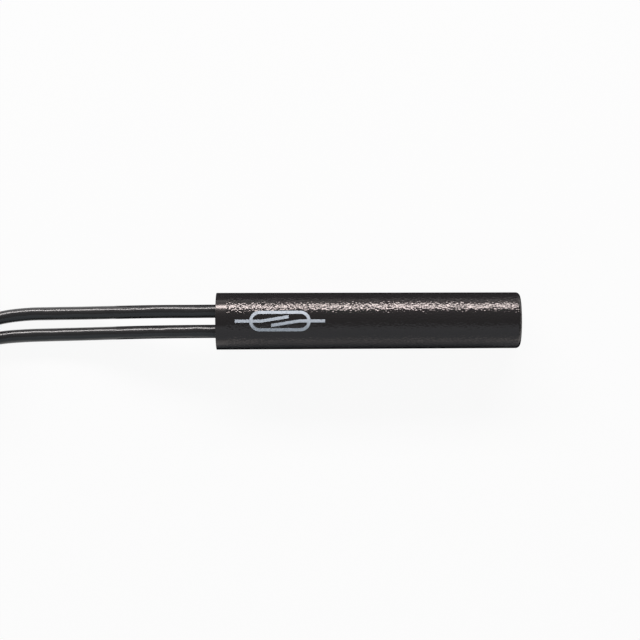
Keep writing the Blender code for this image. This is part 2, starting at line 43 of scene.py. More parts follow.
# Camera
# A long lens looks straight down. The picture's scale and the bulge of the barrel's end rims give
# its height, and the barrel lies a fifth of a degree off the picture's horizontal.
CAMERA_PLACE = (-5.08 * mm, 0.095 * mm, 209.5 * mm)
CAMERA_TURN = math.radians(-0.21)
lens = bpy.data.cameras.new("camera")
lens.lens = 110
lens.sensor_width = 36
lens.clip_start = 10 * mm
camera = bpy.data.objects.new("camera", lens)
camera.location = CAMERA_PLACE
camera.rotation_euler = (0, 0, CAMERA_TURN)
bpy.context.scene.collection.objects.link(camera)
bpy.context.scene.camera = camera

# Housing
# A tube moulded in black glass-filled nylon and closed at its sensing end. The mould was spark
# eroded, so the outside has an even grain, apart from a smooth band at the mouth, and its walls
# are drafted inside and out.
HAIR = 0.001 * mm  # slack with which faces and edges are picked by their place
HOUSING_LENGTH = 32 * mm
HOUSING_RADIUS = 3 * mm
HOUSING_WALL = 0.5 * mm
END_WALL = 1 * mm
DRAFT = math.radians(0.1)
CORNER_RADIUS = 0.45 * mm
BORE_CORNER_RADIUS = 0.4 * mm
MOUTH_EDGE = 0.06 * mm
MOUTH_LEAD_IN = 0.12 * mm
END_RING = 0.05 * mm  # inside the rounded edge, to hold the shading of the flat end
SMOOTH_BAND = 1.15 * mm
BAND_FADE = 0.08 * mm  # to each side of the band's edge
GRAIN = 0.18 * mm  # a little coarser than the real grain, so that it shows in the render
CLOUDING = 0.5 * mm
RELIEF = 0.04 * mm
ASKEW = (0.6, 0.5, 0.7)  # turns the noise, so that its own flat lattice doesn't lie along the barrel
MOUTH_X = -HOUSING_LENGTH / 2
END_X = HOUSING_LENGTH / 2
FLOOR_X = END_X - END_WALL
AXIS_Z = HOUSING_RADIUS
NYLON_BLACK = "#212021"
WARM_GLOSS = "#fff3f0"


def linear(colour):
    """An sRGB hex colour as linear red, green, blue and alpha."""
    parts = [int(colour[i : i + 2], 16) / 255 for i in (1, 3, 5)]
    return (*[((p + 0.055) / 1.055) ** 2.4 if p > 0.04045 else p / 12.92 for p in parts], 1)


def add(owner, kind, inputs=None, **settings):
    """A new shader node with its settings. Each input takes a value or another node's output."""
    node = owner.node_tree.nodes.new(kind)
    for name, value in settings.items():
        setattr(node, name, value)
    for socket, value in (inputs or {}).items():
        if isinstance(value, bpy.types.NodeSocket):
            owner.node_tree.links.new(value, node.inputs[socket])
        else:
            node.inputs[socket].default_value = value
    return node


def blank_material(name):
    """A material without nodes, for a section to fill."""
    material = bpy.data.materials.new(name)
    material.use_nodes = True
    material.node_tree.nodes.clear()
    return material


def pick(kind, wanted):
    """Select only those faces or edges of the mesh in edit mode whose middle is wanted."""
    bpy.ops.mesh.select_mode(type=kind)
    bpy.ops.mesh.select_all(action="DESELECT")
    mesh = bpy.context.edit_object.data
    shape = bmesh.from_edit_mesh(mesh)
    for item in shape.faces if kind == "FACE" else shape.edges:
        middle = sum((corner.co for corner in item.verts), Vector()) / len(item.verts)
        if wanted(middle):
            item.select_set(True)
    bmesh.update_edit_mesh(mesh)


def housing_radius(x):
    """The drafted outside at x."""
    return HOUSING_RADIUS - (x - MOUTH_X) * math.tan(DRAFT)


def bore_radius(x):
    """The drafted inside at x."""
    return housing_radius(x) - HOUSING_WALL


def on_rim(middle, x, radius):
    """Whether an edge's middle lies on the circle about the barrel's axis, or a little inside it."""
    from_axis = math.hypot(middle.y, middle.z - AXIS_Z)
    return abs(middle.x - x) < HAIR and abs(from_axis - radius) < radius / 100


def narrow(x, factor):
    """Draw what is selected in towards the barrel's axis."""
    bpy.ops.transform.resize(value=(1, factor, factor), center_override=(x, 0, AXIS_Z))


bpy.ops.object.select_all(action="DESELECT")
bpy.ops.mesh.primitive_cylinder_add(
    vertices=128,
    radius=HOUSING_RADIUS,
    depth=HOUSING_LENGTH,
    location=(0, 0, AXIS_Z),
    rotation=(0, math.pi / 2, 0),
)
housing = bpy.context.object
housing.name = "moulded_housing"
bpy.ops.object.transform_apply(location=True, rotation=True, scale=True)
bpy.ops.object.mode_set(mode="EDIT")
pick("FACE", lambda middle: middle.x > END_X - HAIR)
narrow(END_X, housing_radius(END_X) / HOUSING_RADIUS)
pick("EDGE", lambda middle: on_rim(middle, END_X, housing_radius(END_X)))
bpy.ops.mesh.bevel(offset=CORNER_RADIUS, segments=8, affect="EDGES")
pick("FACE", lambda middle: abs(middle.x - END_X) < HAIR and abs(middle.y) < HAIR)
bpy.ops.mesh.inset(thickness=END_RING)
pick("FACE", lambda middle: middle.x < MOUTH_X + HAIR)
bpy.ops.mesh.inset(thickness=HOUSING_WALL - MOUTH_LEAD_IN)
bpy.ops.mesh.extrude_region_move(TRANSFORM_OT_translate={"value": (MOUTH_LEAD_IN, 0, 0)})
narrow(MOUTH_X, bore_radius(MOUTH_X + MOUTH_LEAD_IN) / (bore_radius(MOUTH_X) + MOUTH_LEAD_IN))
bore_length = FLOOR_X - MOUTH_X - MOUTH_LEAD_IN
bpy.ops.mesh.extrude_region_move(TRANSFORM_OT_translate={"value": (bore_length, 0, 0)})
narrow(FLOOR_X, bore_radius(FLOOR_X) / bore_radius(MOUTH_X + MOUTH_LEAD_IN))
pick("EDGE", lambda middle: on_rim(middle, FLOOR_X, bore_radius(FLOOR_X)))
bpy.ops.mesh.bevel(offset=BORE_CORNER_RADIUS, segments=4, affect="EDGES")
pick("EDGE", lambda middle: on_rim(middle, MOUTH_X, HOUSING_RADIUS))
bpy.ops.mesh.bevel(offset=MOUTH_EDGE, segments=3, affect="EDGES")
bpy.ops.object.mode_set(mode="OBJECT")
bpy.ops.object.shade_smooth_by_angle(angle=math.radians(35))
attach(housing, "sensor")
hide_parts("housing")

# Glass-filled nylon from a spark-eroded mould: a satin black whose slightly warm highlight breaks
# up into grain, with soft clouds where the glass fibres come near the skin
nylon = blank_material("eroded_black_nylon")
place = add(nylon, "ShaderNodeTexCoord").outputs["Object"]
along = add(nylon, "ShaderNodeSeparateXYZ", {"Vector": place}).outputs["X"]
grained = add(
    nylon,
    "ShaderNodeMapRange",
    {
        "Value": along,
        "From Min": MOUTH_X + SMOOTH_BAND - BAND_FADE,
        "From Max": MOUTH_X + SMOOTH_BAND + BAND_FADE,
    },
    interpolation_type="SMOOTHSTEP",
).outputs["Result"]
turned = add(nylon, "ShaderNodeMapping", {"Vector": place, "Rotation": ASKEW}).outputs["Vector"]
pits = add(
    nylon,
    "ShaderNodeTexNoise",
    {"Vector": turned, "Scale": 1 / GRAIN, "Detail": 0},
).outputs["Fac"]
clouds = add(
    nylon,
    "ShaderNodeTexNoise",
    {"Vector": turned, "Scale": 1 / CLOUDING, "Detail": 1, "Distortion": 1.2},
).outputs["Fac"]
relief = add(
    nylon, "ShaderNodeMath", {0: clouds, 1: 0.4, 2: pits}, operation="MULTIPLY_ADD"
).outputs["Value"]
eroded = add(
    nylon,
    "ShaderNodeBump",
    {"Height": relief, "Strength": grained, "Distance": RELIEF},
).outputs["Normal"]
satin = add(
    nylon, "ShaderNodeMapRange", {"Value": grained, "To Min": 0.2, "To Max": 0.14}
).outputs["Result"]
skin = add(
    nylon,
    "ShaderNodeBsdfPrincipled",
    {
        "Base Color": linear(NYLON_BLACK),
        "Roughness": satin,
        "IOR": 1.57,
        "Specular Tint": linear(WARM_GLOSS),
        "Normal": eroded,
    },
).outputs["BSDF"]
add(nylon, "ShaderNodeOutputMaterial", {"Surface": skin})
housing.data.materials.append(nylon)

# Printed mark
# The circuit symbol of a normally open reed contact, pad printed along the top of the barrel: an
# envelope with a terminal at each end and two blades that stand a little apart.
MARK_X = -9.25 * mm
MARK_LENGTH = 9.4 * mm
ENVELOPE_LENGTH = 6.4 * mm
ENVELOPE_HEIGHT = 2.14 * mm
STROKE = 0.32 * mm
BLADE_ROOT = 0.9 * mm  # straight, from the envelope inwards
BLADE_OVERLAP = 1.8 * mm
BLADE_RISE = 0.45 * mm
INK_FACE = 0.01 * mm  # above the plastic
INK_THICKNESS = 0.008 * mm
INK_PATCHES = 0.2 * mm
INK_PALE = "#b6bfc9"
INK_THIN = "#98a1aa"

envelope_end = ENVELOPE_LENGTH / 2
above = 2 * AXIS_Z + 1 * mm  # where the flat mark is drawn before it is laid on the barrel
bpy.ops.object.select_all(action="DESELECT")
bpy.ops.mesh.primitive_circle_add(
    vertices=64, radius=ENVELOPE_HEIGHT / 2, fill_type="NGON", location=(MARK_X, 0, above)
)
mark = bpy.context.object
mark.name = "printed_mark"
bpy.ops.object.transform_apply(location=True, rotation=True, scale=True)
bpy.ops.object.mode_set(mode="EDIT")
for way in (-1, 1):
    pick("EDGE", lambda middle: way * (middle.x - MARK_X) > HAIR)
    bpy.ops.transform.translate(value=(way * (envelope_end - ENVELOPE_HEIGHT / 2), 0, 0))
pick("FACE", lambda middle: True)
bpy.ops.mesh.inset(thickness=STROKE)
bpy.ops.mesh.delete(type="FACE")
for way in (-1, 1):
    terminal = MARK_LENGTH / 2 - envelope_end
    terminal_x = MARK_X + way * (envelope_end + terminal / 2)
    bpy.ops.mesh.primitive_plane_add(size=1, location=(terminal_x, 0, above))
    bpy.ops.transform.resize(value=(terminal, STROKE, 1))
    inside = envelope_end - STROKE
    root_x = MARK_X + way * (inside - BLADE_ROOT / 2)
    bpy.ops.mesh.primitive_plane_add(size=1, location=(root_x, 0, above))
    bpy.ops.transform.resize(value=(BLADE_ROOT, STROKE, 1))
    root_end = MARK_X + way * (inside - BLADE_ROOT)
    pick("EDGE", lambda middle: abs(middle.x - root_end) < HAIR and abs(middle.y) < HAIR)
    blade = (way * (BLADE_ROOT - inside - BLADE_OVERLAP / 2), -way * BLADE_RISE, 0)
    bpy.ops.mesh.extrude_region_move(TRANSFORM_OT_translate={"value": blade})
pick("FACE", lambda middle: abs(middle.y) < ENVELOPE_HEIGHT / 2 - STROKE)
bpy.ops.mesh.subdivide(number_cuts=3)
bpy.ops.object.mode_set(mode="OBJECT")
wrap = mark.modifiers.new("onto the barrel", "SHRINKWRAP")
wrap.target = housing
wrap.wrap_method = "PROJECT"
wrap.use_project_z = True
wrap.use_negative_direction = True
wrap.use_positive_direction = False
wrap.wrap_mode = "ABOVE_SURFACE"
wrap.offset = INK_FACE
bpy.ops.object.modifier_apply(modifier=wrap.name)
film = mark.modifiers.new("ink film", "SOLIDIFY")
film.thickness = INK_THICKNESS
film.offset = -1
bpy.ops.object.modifier_apply(modifier=film.name)
bpy.ops.object.shade_smooth_by_angle(angle=math.radians(35))
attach(mark, "sensor")

# Two-part pad-printing ink: a matt pale grey that lies in the grain, a little thin in places
ink = blank_material("pale_printing_ink")
place = add(ink, "ShaderNodeTexCoord").outputs["Object"]
cover = add(
    ink, "ShaderNodeTexNoise", {"Vector": place, "Scale": 1 / INK_PATCHES, "Detail": 3}
).outputs["Fac"]
thin = add(
    ink, "ShaderNodeMapRange", {"Value": cover, "From Min": 0.3, "From Max": 0.5}
).outputs["Result"]
tint = add(
    ink,
    "ShaderNodeMix",
    {0: thin, 6: linear(INK_THIN), 7: linear(INK_PALE)},
    data_type="RGBA",
).outputs[2]
matt = add(ink, "ShaderNodeBsdfPrincipled", {"Base Color": tint, "Roughness": 0.6}).outputs["BSDF"]
add(ink, "ShaderNodeOutputMaterial", {"Surface": matt})
mark.data.materials.append(ink)

# Reed switch
# Two nickel-iron wires, flattened at their inner ends into blades, fused into a soda-lime glass
# tube. It lies hidden in the resin.
DRAWN_LINES = 0.05 * mm
GLASS_TINT = "#e6f2ec"
NICKEL_IRON_GREY = "#cbc7bd"

# Drawn soda-lime glass: clear and smooth, with a faint green tint
glass = blank_material("drawn_soda_lime_glass")
clear = add(
    glass,
    "ShaderNodeBsdfPrincipled",
    {"Base Color": linear(GLASS_TINT), "Roughness": 0.03, "IOR": 1.52, "Transmission Weight": 1},
).outputs["BSDF"]
add(glass, "ShaderNodeOutputMaterial", {"Surface": clear})
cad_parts["glass_capsule"].material_slots[0].material = glass

# Drawn nickel-iron wire: a soft grey metal with fine lines along it
reed_metal = blank_material("drawn_nickel_iron")
place = add(reed_metal, "ShaderNodeTexCoord").outputs["Object"]
lengthwise = add(
    reed_metal, "ShaderNodeMapping", {"Vector": place, "Scale": (0.05, 1, 1)}
).outputs["Vector"]
lines = add(
    reed_metal, "ShaderNodeTexNoise", {"Vector": lengthwise, "Scale": 1 / DRAWN_LINES, "Detail": 2}
).outputs["Fac"]
drawn = add(
    reed_metal, "ShaderNodeBump", {"Height": lines, "Strength": 0.5, "Distance": 0.002 * mm}
).outputs["Normal"]
bright = add(
    reed_metal,
    "ShaderNodeBsdfPrincipled",
    {"Base Color": linear(NICKEL_IRON_GREY), "Metallic": 1, "Roughness": 0.3, "Normal": drawn},
).outputs["BSDF"]
add(reed_metal, "ShaderNodeOutputMaterial", {"Surface": bright})
for node in ("reed_near", "reed_far"):
    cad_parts[node].material_slots[0].material = reed_metal

# Stripped cores and their solder joints
# The leads' stripped and tinned copper lies on the reed wires, and tin-lead solder has flowed round
# each pair. They lie hidden in the resin too.
SOLDER_RIPPLE = 0.25 * mm
SOLDER_GREY = "#d3d3d4"

# Tin-lead solder: bright metal with slow ripples, frosted in places where it set
solder = blank_material("tin_lead_solder")
place = add(solder, "ShaderNodeTexCoord").outputs["Object"]
ripple = add(
    solder, "ShaderNodeTexNoise", {"Vector": place, "Scale": 1 / SOLDER_RIPPLE, "Detail": 2}
).outputs["Fac"]
frosted = add(
    solder, "ShaderNodeMapRange", {"Value": ripple, "To Min": 0.18, "To Max": 0.42}
).outputs["Result"]
flowed = add(
    solder, "ShaderNodeBump", {"Height": ripple, "Strength": 0.6, "Distance": 0.02 * mm}
).outputs["Normal"]
bright = add(
    solder,
    "ShaderNodeBsdfPrincipled",
    {"Base Color": linear(SOLDER_GREY), "Metallic": 1, "Roughness": frosted, "Normal": flowed},
).outputs["BSDF"]
add(solder, "ShaderNodeOutputMaterial", {"Surface": bright})
for node in ("near_solder_joint", "far_solder_joint", "near_core", "far_core"):
    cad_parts[node].material_slots[0].material = solder

# Potting compound
# Black epoxy resin poured in at the mouth. It has shrunk into a shallow dish as it set, and has
# wetted the wall of the bore and the leads.
RESIN_WAVES = 1.2 * mm
RESIN_BLACK = "#1c1c1d"
resin_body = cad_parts["potting_compound"].copy()
resin_body.data = resin_body.data.copy()
resin_body.name = "cast_resin"
bpy.context.scene.collection.objects.link(resin_body)
bpy.ops.object.select_all(action="DESELECT")
resin_body.select_set(True)
bpy.context.view_layer.objects.active = resin_body
bpy.ops.object.mode_set(mode="EDIT")
bpy.ops.mesh.select_all(action="SELECT")
bpy.ops.mesh.remove_doubles(threshold=HAIR)
bpy.ops.object.mode_set(mode="OBJECT")
bpy.ops.object.shade_smooth_by_angle(angle=math.radians(30))
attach(resin_body, "sensor")
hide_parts("potting_compound")

# Cured epoxy: a glossy black skin with slow waves where it set
epoxy = blank_material("cast_black_epoxy")
place = add(epoxy, "ShaderNodeTexCoord").outputs["Object"]
waves = add(
    epoxy, "ShaderNodeTexNoise", {"Vector": place, "Scale": 1 / RESIN_WAVES, "Detail": 1}
).outputs["Fac"]
set_skin = add(
    epoxy, "ShaderNodeBump", {"Height": waves, "Strength": 0.5, "Distance": 0.08 * mm}
).outputs["Normal"]
glossy = add(
    epoxy,
    "ShaderNodeBsdfPrincipled",
    {"Base Color": linear(RESIN_BLACK), "Roughness": 0.16, "IOR": 1.55, "Normal": set_skin},
).outputs["BSDF"]
add(epoxy, "ShaderNodeOutputMaterial", {"Surface": glossy})
resin_body.data.materials.clear()
resin_body.data.materials.append(epoxy)

# Leads
# Two thin stranded hook-up wires in extruded black PVC. They run side by side out of the potted
# mouth, down to the surface and into the hank, where their spare length is folded up, and end in
# bare strands that are twisted together and dipped in solder.
LEAD_DIAMETER = 1.4 * mm
LEAD_PITCH = 2.12 * mm
LEAD_LENGTH = 300 * mm  # from the mouth to the tip
NEAR_INNER_END_X = -9.05 * mm  # where the insulation ends in the resin
FAR_INNER_END_X = 7.7 * mm
LEAD_Z = 3.3 * mm  # height of their middles at the mouth
STRAIGHT_END_X = MOUTH_X - LEAD_DIAMETER / 2
BARE_END = 3 * mm
OUTER_STRANDS = 6
STRAND_DIAMETER = 0.2 * mm
STRAND_LAY = 9 * mm  # length of one full twist
STRAND_STEPS = 8
SOLDERED_CORE = 0.46 * mm  # what the solder fills between the strands
STRAND_WAVES = 2.2 * mm
SCUFFS = 0.3 * mm
LEAD_BLACK = "#262627"
FROST = 0.2 * mm
TINNED_GREY = "#d8d6d1"

# Routes of the free stretches in millimetres: X and Y from where the lead leaves the mouth or the
# hank's far fold, and the height of its underside above the surface
NEAR_ROUTE = [
    (-2.5, -0.01, 2.54),
    (-5.5, -0.01, 2.22),
    (-8.5, -0.04, 1.58),
    (-11.5, -0.09, 0.82),
    (-14.5, -0.14, 0.28),
    (-17.5, -0.18, 0.05),
    (-20.5, -0.26, 0.01),
    (-23.0, -0.58, 0.01),
    (-24.3, -0.92, 0.01),
    (-25.0, -1.11, 0.01),
    (-27.0, -2.06, 0.01),
    (-29.0, -2.91, 0.01),
]
FAR_ROUTE = [
    (-2.5, -0.01, 2.53),
    (-5.5, -0.04, 2.18),
    (-8.5, -0.09, 1.50),
    (-11.5, -0.17, 0.73),
    (-14.5, -0.25, 0.23),
    (-17.5, -0.32, 0.04),
    (-20.5, -0.41, 0.01),
    (-23.0, -0.60, 0.01),
    (-25.0, -0.94, 0.01),
    (-27.0, -1.59, 0.01),
    (-29.0, -2.24, 0.01),
]
NEAR_END_ROUTE = [
    (-3.0, 0.00, 4.20),
    (-5.6, 0.00, 4.10),
    (-7.8, -0.01, 3.15),
    (-10.0, -0.06, 1.60),
    (-12.2, -0.16, 0.40),
    (-14.4, -0.30, 0.02),
    (-16.0, -0.42, 0.01),
]
FAR_END_ROUTE = [
    (-2.6, 0.00, 4.20),
    (-4.6, -0.02, 4.10),
    (-6.4, -0.08, 3.20),
    (-8.2, -0.20, 1.70),
    (-10.0, -0.38, 0.40),
    (-11.8, -0.60, 0.02),
    (-13.0, -0.76, 0.01),
]

# The hank's turns: two round folds joined by hollow arcs that draw in to the waist under the tie
HANK_Y = 2 * mm
HANK_GAP = 30.8 * mm  # from the mouth, which keeps the hank out of the picture
HANK_RUN = 21 * mm
HANK_MIDDLE_X = MOUTH_X - HANK_GAP - HANK_RUN / 2
HANK_FAR_X = HANK_MIDDLE_X - HANK_RUN / 2
FOLD_RADIUS = 4.2 * mm
WAIST_HALF_GAP = 0.75 * mm
TURNS = 3
FOLD_START_STEPS, FOLD_STEPS, FOLD_END_STEPS, RUN_STEPS = 3, 18, 4, 12
STRAP_WIDTH = 2.5 * mm
STRAP_THICKNESS = 0.8 * mm
TIE_CLEARANCE = 0.05 * mm
LEVEL_MARGIN = 0.3 * mm
LIFT_RAMP = 5.6 * mm
TIE_LIFT = STRAP_THICKNESS + TIE_CLEARANCE
HALF_RUN = HANK_RUN / 2
WAIST_RADIUS = (HALF_RUN**2 + WAIST_HALF_GAP**2 - FOLD_RADIUS**2) / (2 * (FOLD_RADIUS - WAIST_HALF_GAP))
WAIST_CENTRE = WAIST_HALF_GAP + WAIST_RADIUS
TANGENT = math.degrees(math.atan2(WAIST_CENTRE, HALF_RUN))


def lift(x):
    """How far the turns are lifted at x from the hank's middle, where the strap passes under them."""
    share = min(1, max(0, (abs(x) - STRAP_WIDTH / 2 - LEVEL_MARGIN) / LIFT_RAMP))
    return TIE_LIFT * (1 + math.cos(math.pi * share)) / 2


def arc(centre_x, centre_y, radius, start, end, steps):
    """Points on an arc from the angle start to end, in degrees, without the last one."""
    angles = [math.radians(start + (end - start) * i / steps) for i in range(steps)]
    return [(centre_x + radius * math.cos(a), centre_y + radius * math.sin(a)) for a in angles]


def hank_path(column):
    """A lead's way through the hank, from the near fold's outermost point on its -Y side."""
    out = column * LEAD_DIAMETER
    fold, waist = FOLD_RADIUS + out, WAIST_RADIUS - out
    low_run = arc(HALF_RUN, 0, fold, -90, TANGENT - 180, FOLD_START_STEPS)
    low_run += arc(0, -WAIST_CENTRE, waist, TANGENT, 180 - TANGENT, RUN_STEPS)
    far_fold = arc(-HALF_RUN, 0, fold, -TANGENT, TANGENT - 360, FOLD_STEPS)
    high_run = arc(0, WAIST_CENTRE, waist, TANGENT - 180, -TANGENT, RUN_STEPS)
    near_fold = arc(HALF_RUN, 0, fold, 180 - TANGENT, -90, FOLD_STEPS)
    path = []
    for turn in range(TURNS):
        path += [(x, y, turn) for x, y in low_run + far_fold + high_run]
        for x, y in near_fold:
            angle = math.degrees(math.atan2(y, x - HALF_RUN))
            climb = min(1, max(0, (90 - angle) / 90))
            path.append((x, y, turn + climb * climb * (3 - 2 * climb)))
    way_out = arc(-HALF_RUN, 0, fold, -TANGENT, -90, FOLD_END_STEPS)
    path += [(x, y, TURNS) for x, y in low_run + way_out]
    path.append((-HALF_RUN, -fold, TURNS))
    return [
        (HANK_MIDDLE_X + x, HANK_Y + y, LEAD_DIAMETER * (0.5 + layer) + lift(x)) for x, y, layer in path
    ]


def placed(route, start_x, start_y):
    """The middle of the lead at a route's points."""
    start = Vector((start_x, start_y, LEAD_DIAMETER / 2))
    return [start + Vector(point) * mm for point in route]


def round_wire(name, points, diameter):
    """A round wire on one smooth curve through the points."""
    curve = bpy.data.curves.new(name, "CURVE")
    curve.dimensions = "3D"
    curve.bevel_depth = 1  # times each knot's own radius
    curve.bevel_resolution = 6
    curve.resolution_u = 5
    curve.use_fill_caps = True
    spline = curve.splines.new("BEZIER")
    spline.bezier_points.add(len(points) - 1)
    for knot, point in zip(spline.bezier_points, points):
        knot.co = point
        knot.radius = diameter / 2
        knot.handle_left_type = "AUTO"
        knot.handle_right_type = "AUTO"
    wire = bpy.data.objects.new(name, curve)
    bpy.context.scene.collection.objects.link(wire)
    return wire


def tinned_tip(name, start, heading):
    """The bare end of a lead: six strands twisted round a seventh, with solder between them."""
    across = heading.cross(Vector((0, 0, 1)))
    pieces = [round_wire(name, [start, start + heading * BARE_END], SOLDERED_CORE)]
    for strand in range(OUTER_STRANDS):
        strand_path = []
        for step in range(STRAND_STEPS + 1):
            reach = BARE_END * step / STRAND_STEPS
            angle = math.tau * (strand / OUTER_STRANDS + reach / STRAND_LAY)
            sideways = across * math.cos(angle) + Vector((0, 0, math.sin(angle)))
            strand_path.append(start + heading * reach + sideways * STRAND_DIAMETER)
        pieces.append(round_wire(f"{name}_strand", strand_path, STRAND_DIAMETER))
    bpy.ops.object.select_all(action="DESELECT")
    for piece in pieces:
        piece.select_set(True)
    bpy.context.view_layer.objects.active = pieces[0]
    bpy.ops.object.convert(target="MESH")
    bpy.ops.object.join()
    bpy.ops.object.shade_smooth_by_angle(angle=math.radians(40))
    return bpy.context.object


leads, tips, cords = [], [], []
for side, y, inner_end, route, column, end_route in (
    ("near", LEAD_PITCH / 2, NEAR_INNER_END_X, NEAR_ROUTE, 0, NEAR_END_ROUTE),
    ("far", -LEAD_PITCH / 2, FAR_INNER_END_X, FAR_ROUTE, 1, FAR_END_ROUTE),
):
    half_way = (inner_end + MOUTH_X) / 2
    potted = [(x, y, LEAD_Z) for x in (inner_end, half_way, MOUTH_X, STRAIGHT_END_X)]
    leaves_y = HANK_Y - FOLD_RADIUS - column * LEAD_DIAMETER
    loose_end = placed(end_route, HANK_FAR_X, leaves_y)
    points = potted + placed(route, MOUTH_X, y) + hank_path(column) + loose_end
    lead = round_wire(f"{side}_wire", points, LEAD_DIAMETER)
    heading = loose_end[-1] - loose_end[-2]
    heading.z = 0
    tip = tinned_tip(f"{side}_tip", loose_end[-1], heading.normalized())
    for piece in (lead, tip):
        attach(piece, "sensor")
    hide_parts(f"{side}_lead", f"{side}_lead_end")
    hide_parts(f"{side}_tinned_end")
    leads.append(lead)
    tips.append(tip)
    cords.append((lead, (MOUTH_X, y, LEAD_Z), LEAD_LENGTH + inner_end - MOUTH_X, [tip]))
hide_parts("lead_hank")

# Extruded soft PVC: a clean satin black that waves a little over the strands of the conductor
pvc = blank_material("extruded_black_pvc")
place = add(pvc, "ShaderNodeTexCoord").outputs["Object"]
strands = add(
    pvc, "ShaderNodeTexNoise", {"Vector": place, "Scale": 1 / STRAND_WAVES, "Detail": 1}
).outputs["Fac"]
scuffs = add(
    pvc, "ShaderNodeTexNoise", {"Vector": place, "Scale": 1 / SCUFFS, "Detail": 1}
).outputs["Fac"]
waved = add(
    pvc, "ShaderNodeBump", {"Height": strands, "Strength": 1, "Distance": 0.2 * mm}
).outputs["Normal"]
rubbed = add(
    pvc, "ShaderNodeBump", {"Height": scuffs, "Strength": 1, "Distance": 0.004 * mm, "Normal": waved}
).outputs["Normal"]
sleeve = add(
    pvc,
    "ShaderNodeBsdfPrincipled",
    {"Base Color": linear(LEAD_BLACK), "Roughness": 0.24, "IOR": 1.54, "Normal": rubbed},
).outputs["BSDF"]
add(pvc, "ShaderNodeOutputMaterial", {"Surface": sleeve})
for lead in leads:
    lead.data.materials.append(pvc)

# Hot-dipped copper strands: bright metal, a little frosted where the solder set
tinned = blank_material("tinned_copper_strands")
place = add(tinned, "ShaderNodeTexCoord").outputs["Object"]
frost = add(
    tinned, "ShaderNodeTexNoise", {"Vector": place, "Scale": 1 / FROST, "Detail": 2}
).outputs["Fac"]
frosted = add(
    tinned, "ShaderNodeMapRange", {"Value": frost, "To Min": 0.12, "To Max": 0.42}
).outputs["Result"]
dipped = add(
    tinned, "ShaderNodeBump", {"Height": frost, "Strength": 0.7, "Distance": 0.01 * mm}
).outputs["Normal"]
metal = add(
    tinned,
    "ShaderNodeBsdfPrincipled",
    {"Base Color": linear(TINNED_GREY), "Metallic": 1, "Roughness": frosted, "Normal": dipped},
).outputs["BSDF"]
add(tinned, "ShaderNodeOutputMaterial", {"Surface": metal})
for tip in tips:
    tip.data.materials.append(tinned)

# Hank tie
# A small black nylon cable tie, moulded in one piece. Its strap passes round the waist of the hank
# and out through the slot of its head, and is cut off short.
STRAP_BEND = 0.7 * mm
STRAP_EDGE = 0.14 * mm
HEAD_WIDTH = 3.6 * mm
HEAD_HEIGHT = 4 * mm
HEAD_DEPTH = 2.6 * mm
HEAD_EDGE = 0.3 * mm
HEAD_RINGS = (0.1 * mm, 0.2 * mm)  # flat, between the head's edge and its slot
SLOT_GAP = 0.14 * mm
SLOT_DEPTH = 0.9 * mm
STUB_LENGTH = 0.6 * mm
STUB_EDGE = 0.08 * mm
MOULD_TEXTURE = 0.12 * mm
TIE_BLACK = "#242425"

bundle_reach = LEAD_DIAMETER / 2 + TIE_CLEARANCE
waist_spread = WAIST_RADIUS - math.sqrt(WAIST_RADIUS**2 - (STRAP_WIDTH / 2) ** 2)
strap_side = WAIST_HALF_GAP + LEAD_DIAMETER + waist_spread + bundle_reach
strap_low = STRAP_THICKNESS
top_turn_z = TIE_LIFT + (TURNS + 0.5) * LEAD_DIAMETER
strap_high = top_turn_z + bundle_reach

# The last half turn lies on one side only, so the strap slopes down across the turns on the other
slope = Vector((0, 2 * WAIST_HALF_GAP + LEAD_DIAMETER, -LEAD_DIAMETER)).normalized()
slope_normal = Vector((0, -slope.z, slope.y))
slope_point = Vector((HANK_MIDDLE_X, HANK_Y - WAIST_HALF_GAP, top_turn_z))
slope_point += slope_normal * bundle_reach

bpy.ops.object.select_all(action="DESELECT")
bpy.ops.mesh.primitive_plane_add(
    size=1,
    location=(HANK_MIDDLE_X - STRAP_WIDTH / 2, HANK_Y, (strap_low + strap_high) / 2),
    rotation=(0, math.pi / 2, 0),
)
tie = bpy.context.object
tie.name = "cable_tie"
tie.scale = (strap_high - strap_low, 2 * strap_side, 1)
bpy.ops.object.transform_apply(location=True, rotation=True, scale=True)
bpy.ops.object.mode_set(mode="EDIT")
bpy.ops.mesh.select_all(action="SELECT")
bpy.ops.mesh.bisect(plane_co=slope_point, plane_no=slope_normal, clear_outer=True)
bpy.ops.mesh.select_mode(type="VERT")
bpy.ops.mesh.select_all(action="SELECT")
bpy.ops.mesh.bevel(offset=STRAP_BEND, segments=6, affect="VERTICES")
bpy.ops.mesh.select_all(action="SELECT")
bpy.ops.mesh.delete(type="ONLY_FACE")
bpy.ops.mesh.select_all(action="SELECT")
bpy.ops.mesh.extrude_region_move(TRANSFORM_OT_translate={"value": (STRAP_WIDTH, 0, 0)})
bpy.ops.mesh.select_all(action="SELECT")
bpy.ops.mesh.normals_make_consistent(inside=False)
bpy.ops.object.mode_set(mode="OBJECT")
strap = tie.modifiers.new("strap", "SOLIDIFY")
strap.thickness = STRAP_THICKNESS
strap.offset = 1
strap.use_even_offset = True
bpy.ops.object.modifier_apply(modifier=strap.name)
rounded = tie.modifiers.new("strap edges", "BEVEL")
rounded.width = STRAP_EDGE
rounded.segments = 3
rounded.angle_limit = math.radians(60)
bpy.ops.object.modifier_apply(modifier=rounded.name)

